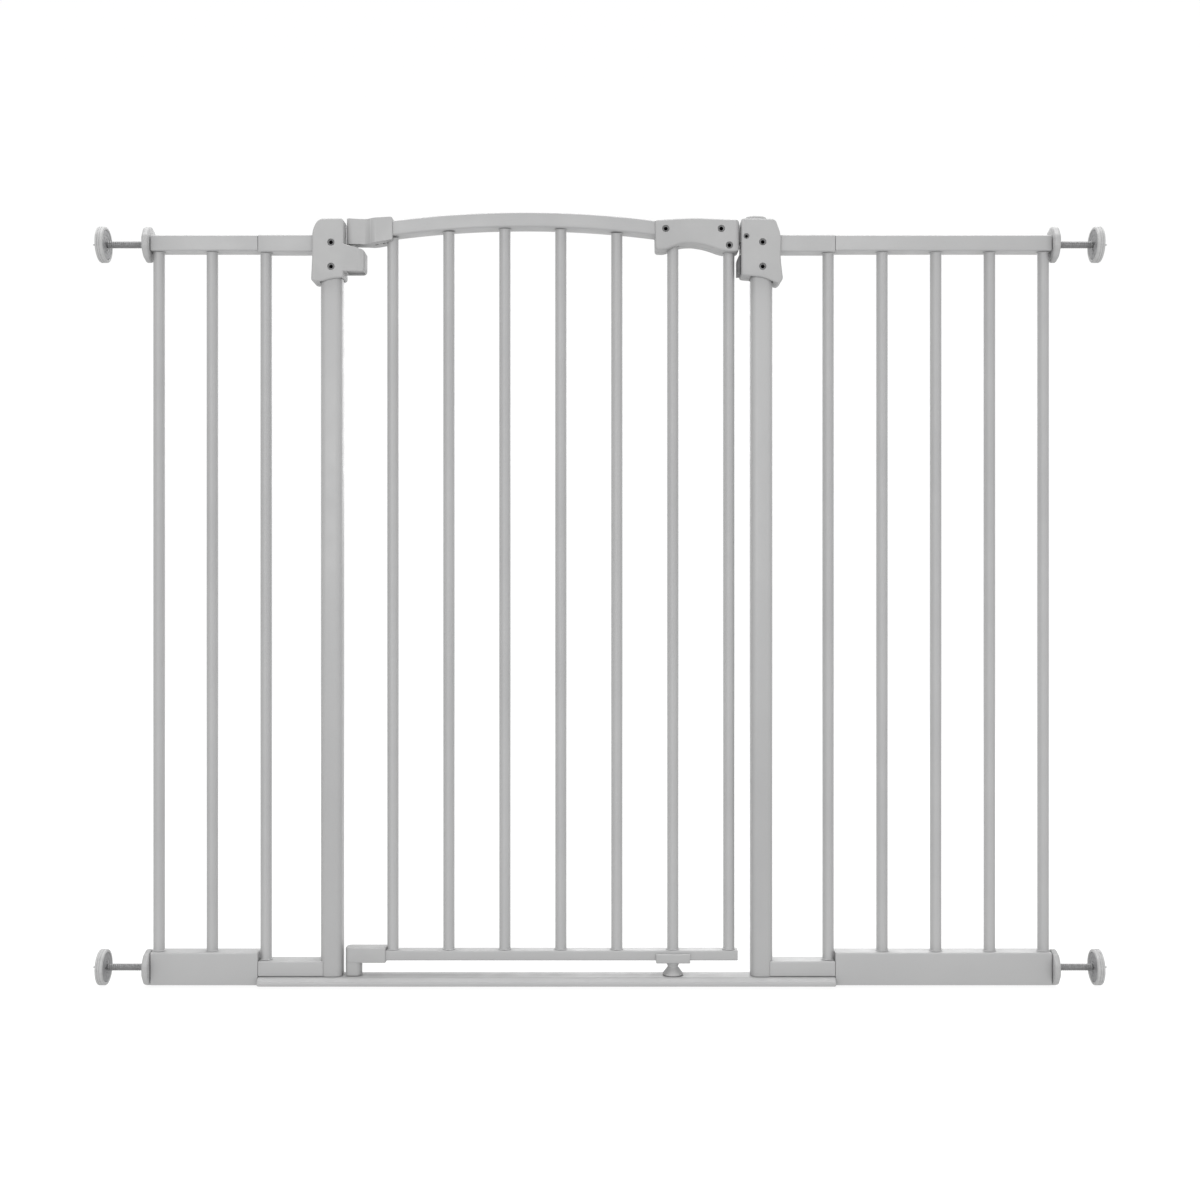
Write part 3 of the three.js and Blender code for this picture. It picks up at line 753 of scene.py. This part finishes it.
def latch_slider():
    """Bolt with a slanted nose, joined by a stem to a ribbed thumb piece."""
    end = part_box("latch_slider")[1].x
    nose, thumb_bottom = 5 * MM, 0.7434
    section = [(BOLT_START, BOLT_LOW), (end, BOLT_LOW), (end, BOLT_LOW + 3 * MM),
               (end - nose, BOLT_HIGH), (STEM[1], BOLT_HIGH), (STEM[1], thumb_bottom),
               (STEM[0], thumb_bottom), (STEM[0], BOLT_HIGH), (BOLT_START, BOLT_HIGH)]
    bolt = slab("latch_bolt", section, -5 * MM, 5 * MM, (0.4 * MM, 0.4 * MM))
    stem_sides = (STEM[0] - 1.5 * MM, STEM[1] + 1.5 * MM)
    carve(bolt, [block((stem_sides[0], near, BOLT_HIGH), (stem_sides[1], far, 0.75))
                 for near, far in ((-6 * MM, -3 * MM), (3 * MM, 6 * MM))])
    bm = beam(*THUMB, 13 * MM, 3.4 * MM, 1.0 * MM, along_x(0, 0.7447))
    thumb = mesh_object("thumb_piece", bm)
    first_rib, rib_pitch, rib_width, rib_floor = 0.1045, 2.6 * MM, 1.2 * MM, 0.7459
    ribs = []
    for i in range(6):
        left = first_rib + i * rib_pitch
        ribs.append(block((left, -5.2 * MM, rib_floor), (left + rib_width, 5.2 * MM, 0.75)))
    carve(thumb, ribs)
    for piece in (bolt, thumb):
        stand_for(piece, "latch_slider", "moulded_plastic")


def strike_plate():
    low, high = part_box("strike_plate")
    section = [(low.x, low.z), (high.x, low.z), (high.x, high.z), (high.x - 1.6 * MM, high.z),
               (low.x, high.z - 3.4 * MM)]
    edges = (0.5 * MM, 0.5 * MM)
    # painted shade: the strike plate, with its chamfered top corner, is coloured near black to
    # stand for the shaded side face by the latch housing
    stand_for(slab("strike_plate_insert", section, low.y, high.y, edges),
              "strike_plate", "dark_plastic")


# ---- hinge and stop ----
# outlines seen from above, narrow enough round the swing axis to clear the fixed pieces
KNUCKLE_PLAN = (
    (-247.6, -7.4, 6), (-226.4, -7.4, 4), (-221.4, -12.4, 4), (-201.5, -12.4, 2),
    (-201.5, 12.4, 2), (-221.4, 12.4, 4), (-226.4, 7.4, 4), (-247.6, 7.4, 6),
)
KNUCKLE_FACE = (
    (-260, 751.2, 4), (-240, 749.2, 8), (-226, 748.8, 5), (-201.5, 750.2, 3), (-201.5, 728.4, 2.5),
    (-226, 724.4, 5), (-260, 725, 3),
)
BRACKET_LEG_PLAN = (
    (-248.6, -7.5, 5), (-233.2, -7.5, 6), (-233.2, 7.5, 6), (-248.6, 7.5, 5),
)
BRACKET_PLAN = (
    (-248.6, -8.4, 6), (-209, -8.4, 2), (-209, 8.4, 2), (-248.6, 8.4, 6),
)
GRIP_SCREWS = ((-0.2185, 1.6 * MM), (-0.2115, 1.4 * MM))  # x and radius, under the knuckle


def hinge_pin(profile, sides):
    return mesh_object("pin", revolve(profile, sides, Matrix.Translation((HINGE_X, 0, 0))))


def hinge_knuckle():
    """Knuckle that grips the arched rail: narrow boss, flared grip and the pin under it."""
    piece = column("knuckle_grip", outline(KNUCKLE_PLAN), 0.72, 0.76)
    side_view = slab("cutter", outline(KNUCKLE_FACE), -0.02, 0.02, (CUTTER_EDGE, CUTTER_EDGE))
    boolean_with(piece, side_view, "INTERSECT")
    edge = piece.modifiers.new("edge", "BEVEL")
    edge.width = 1.1 * MM
    edge.segments = 3
    edge.limit_method = "ANGLE"
    edge.angle_limit = math.radians(50)
    bake(piece)
    pin = hinge_pin([(3.2 * MM, 0.7), (4 * MM, 0.7008), (4 * MM, 0.73)], 40)
    boolean_with(piece, pin, "UNION")
    rail_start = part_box("door_top_rail")[0].x
    bar_low, bar_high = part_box("door_bar_1")
    carve(piece, [
        block((rail_start - CLEARANCE, -RAIL_POCKET, 0.7295), (-0.19, RAIL_POCKET, 0.7475)),
        round_pocket((bar_low.x + bar_high.x) / 2, BAR_POCKET, 0.7, 0.735)(),
    ] + [round_pocket(x, radius + 0.1 * MM, 0.71, 0.7292)() for x, radius in GRIP_SCREWS])
    stand_for(piece, "hinge_knuckle", "moulded_plastic")
    # painted shade: a near-black disc at the top of each grip screw hole makes the hole read as
    # deep
    for x, radius in GRIP_SCREWS:
        profile = [(radius - 0.2 * MM, 0.7274), (radius, 0.7276), (radius, 0.729)]
        plug = mesh_object("grip_screw_hole_shade", revolve(profile, 32, Matrix.Translation((x, 0, 0))))
        stand_for(plug, "hinge_knuckle", "moulded_plastic", "painted_shade_black")


def hinge_bracket():
    """Lower hinge: a boxed sleeve on the door's bottom rail with a round pivot leg."""
    low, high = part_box("lower_hinge_bracket")
    body_bottom, leg_bottom, leg_top = 23.7 * MM, 10.8 * MM, 26 * MM
    piece = column("pivot_bracket", outline(BRACKET_PLAN), body_bottom, high.z,
                   (0.8 * MM, 1.0 * MM))
    leg = column("leg", outline(BRACKET_LEG_PLAN), leg_bottom, leg_top, (0.6 * MM, 0.2 * MM))
    boolean_with(piece, leg, "UNION")
    pin = hinge_pin([(3.2 * MM, low.z), (3.4 * MM, low.z + 0.3 * MM), (3.4 * MM, 14 * MM)], 48)
    boolean_with(piece, pin, "UNION")
    rail_low, rail_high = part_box("door_bottom_rail")
    carve(piece, [block((rail_low.x - CLEARANCE, rail_low.y - CLEARANCE, rail_low.z - CLEARANCE),
                        (high.x + 5 * MM, rail_high.y + CLEARANCE, rail_high.z + CLEARANCE))])
    stand_for(piece, "lower_hinge_bracket", "moulded_plastic")


def door_stop():
    """U-shaped clip round the bottom rail and the cone foot that hangs from it."""
    low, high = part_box("door_stop")
    x = (low.x + high.x) / 2
    rail_low, rail_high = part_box("door_bottom_rail")
    bottom, half = 23.2 * MM, 9.2 * MM
    middle = along_x(0, (bottom + high.z) / 2)
    clip = mesh_object("stop_clip",
                       beam(low.x, high.x, 2 * half, high.z - bottom, 1.4 * MM, middle))
    carve(clip, [block((low.x - MM, rail_low.y - CLEARANCE, rail_low.z - CLEARANCE),
                       (high.x + MM, rail_high.y + CLEARANCE, high.z + MM))])
    stand_for(clip, "door_stop", "moulded_plastic")
    foot = low.z
    profile = [(9.4 * MM, foot), (10.1 * MM, foot + 0.4 * MM), (10.1 * MM, foot + 1.2 * MM),
               (9.5 * MM, foot + 1.9 * MM), (7.4 * MM, foot + 4.6 * MM), (5.6 * MM, foot + 7 * MM),
               (5.1 * MM, foot + 7.8 * MM), (5.1 * MM, foot + 8.6 * MM),
               (5.5 * MM, foot + 9.4 * MM), (6.1 * MM, foot + 10.6 * MM),
               (6.4 * MM, bottom + 0.1 * MM)]
    cone = mesh_object("stop_foot", revolve(profile, 56, Matrix.Translation((x, 0, 0))))
    stand_for(cone, "door_stop", "moulded_plastic")


# ---- the whole gate ----
def build_gate():
    for node in frame["nodes"]:
        if node.endswith("_rail") and node != "door_top_rail":
            x_rail(node)
        elif "_bar_" in node:
            z_bar(node)
    for node in ("left_post", "right_post"):
        post(node)
    threshold()
    arched_rail()
    for label in ("top_left", "bottom_left", "top_right", "bottom_right"):
        hand_wheel(label)
        threaded_rod(label)
        wall_pad(label)
    housings()
    lock_button()
    latch_slider()
    strike_plate()
    hinge_knuckle()
    hinge_bracket()
    door_stop()


# ---- studio ----
def lit_table(name, tone, glow):
    """Matte white sheet that is also lit evenly from behind, so contact shadows stay soft."""
    s = Shader(name)
    s.set(Base_Color=(tone, tone, tone, 1), Roughness=0.9, Specular_IOR_Level=0.1,
          Emission_Color=(1, 1, 1, 1), Emission_Strength=glow)
    return s.material


def backdrop():
    """Pale floor that curves up into a round wall, so every side is seen against it."""
    radius, curve, top, steps, sides = 6.0, 1.4, 4.0, 16, 96
    flat = radius - curve
    profile = [(0.001, 0.0), (1.5, 0.0), (3.0, 0.0), (flat, 0.0)]
    for i in range(1, steps + 1):
        turn = math.pi / 2 * i / steps
        profile.append((flat + curve * math.sin(turn), curve - curve * math.cos(turn)))
    profile.append((radius, top))
    turns = [2 * math.pi * i / sides for i in range(sides)]
    below = 0.5 * MM  # the floor lies just under the gate's feet
    bm = bmesh.new()
    rows = []
    for r, z in profile:
        rows.append([bm.verts.new((r * math.cos(t), r * math.sin(t), z - below)) for t in turns])
    for low, high in zip(rows, rows[1:]):
        skin(bm, low, high, inward=True)
    bm.faces.new(rows[0])
    obj = bare_object("backdrop", bm)
    obj.data.shade_smooth()
    obj.data.materials.append(lit_table("pale_floor", 0.12, 0.90))


LIGHTS = (  # name, place, target, width and height, watts
    ("key", (-0.8, -3.2, 1.1), (0, 0, 0.35), (2.4, 1.8), 36),
    ("top", (0, 0.3, 2.8), (0, 0, 0), (3.2, 2.2), 104),
    ("fill", (1.8, -2.4, 0.9), (0, 0, 0.4), (1.6, 1.6), 10),
    ("rear", (0.8, 3.2, 1.6), (0, 0, 0.4), (2.4, 1.8), 22),
)
WORLD_STRENGTH = 0.5


def area_light(name, place, target, size, power):
    light = bpy.data.lights.new(name, "AREA")
    light.shape = "RECTANGLE"
    light.size, light.size_y = size
    light.energy = power
    obj = bpy.data.objects.new(name, light)
    obj.location = place
    obj.rotation_euler = (Vector(target) - Vector(place)).to_track_quat("-Z", "Y").to_euler()
    bpy.context.collection.objects.link(obj)


def studio():
    backdrop()
    for light in LIGHTS:
        area_light(*light)
    world = bpy.data.worlds.new("studio")
    bpy.context.scene.world = world
    world.use_nodes = True
    background = world.node_tree.nodes["Background"]
    background.inputs["Color"].default_value = (1, 1, 1, 1)
    background.inputs["Strength"].default_value = WORLD_STRENGTH


def camera():
    data = bpy.data.cameras.new("camera")
    data.sensor_width = 36
    data.lens = data.sensor_width * CAMERA_DISTANCE / FIELD_WIDTH
    obj = bpy.data.objects.new("camera", data)
    obj.location = (0, -CAMERA_DISTANCE, CAMERA_HEIGHT)
    obj.rotation_euler = (math.pi / 2, 0, 0)
    bpy.context.collection.objects.link(obj)
    bpy.context.scene.camera = obj


camera()
build_gate()
studio()
bpy.context.scene.view_settings.view_transform = "Standard"
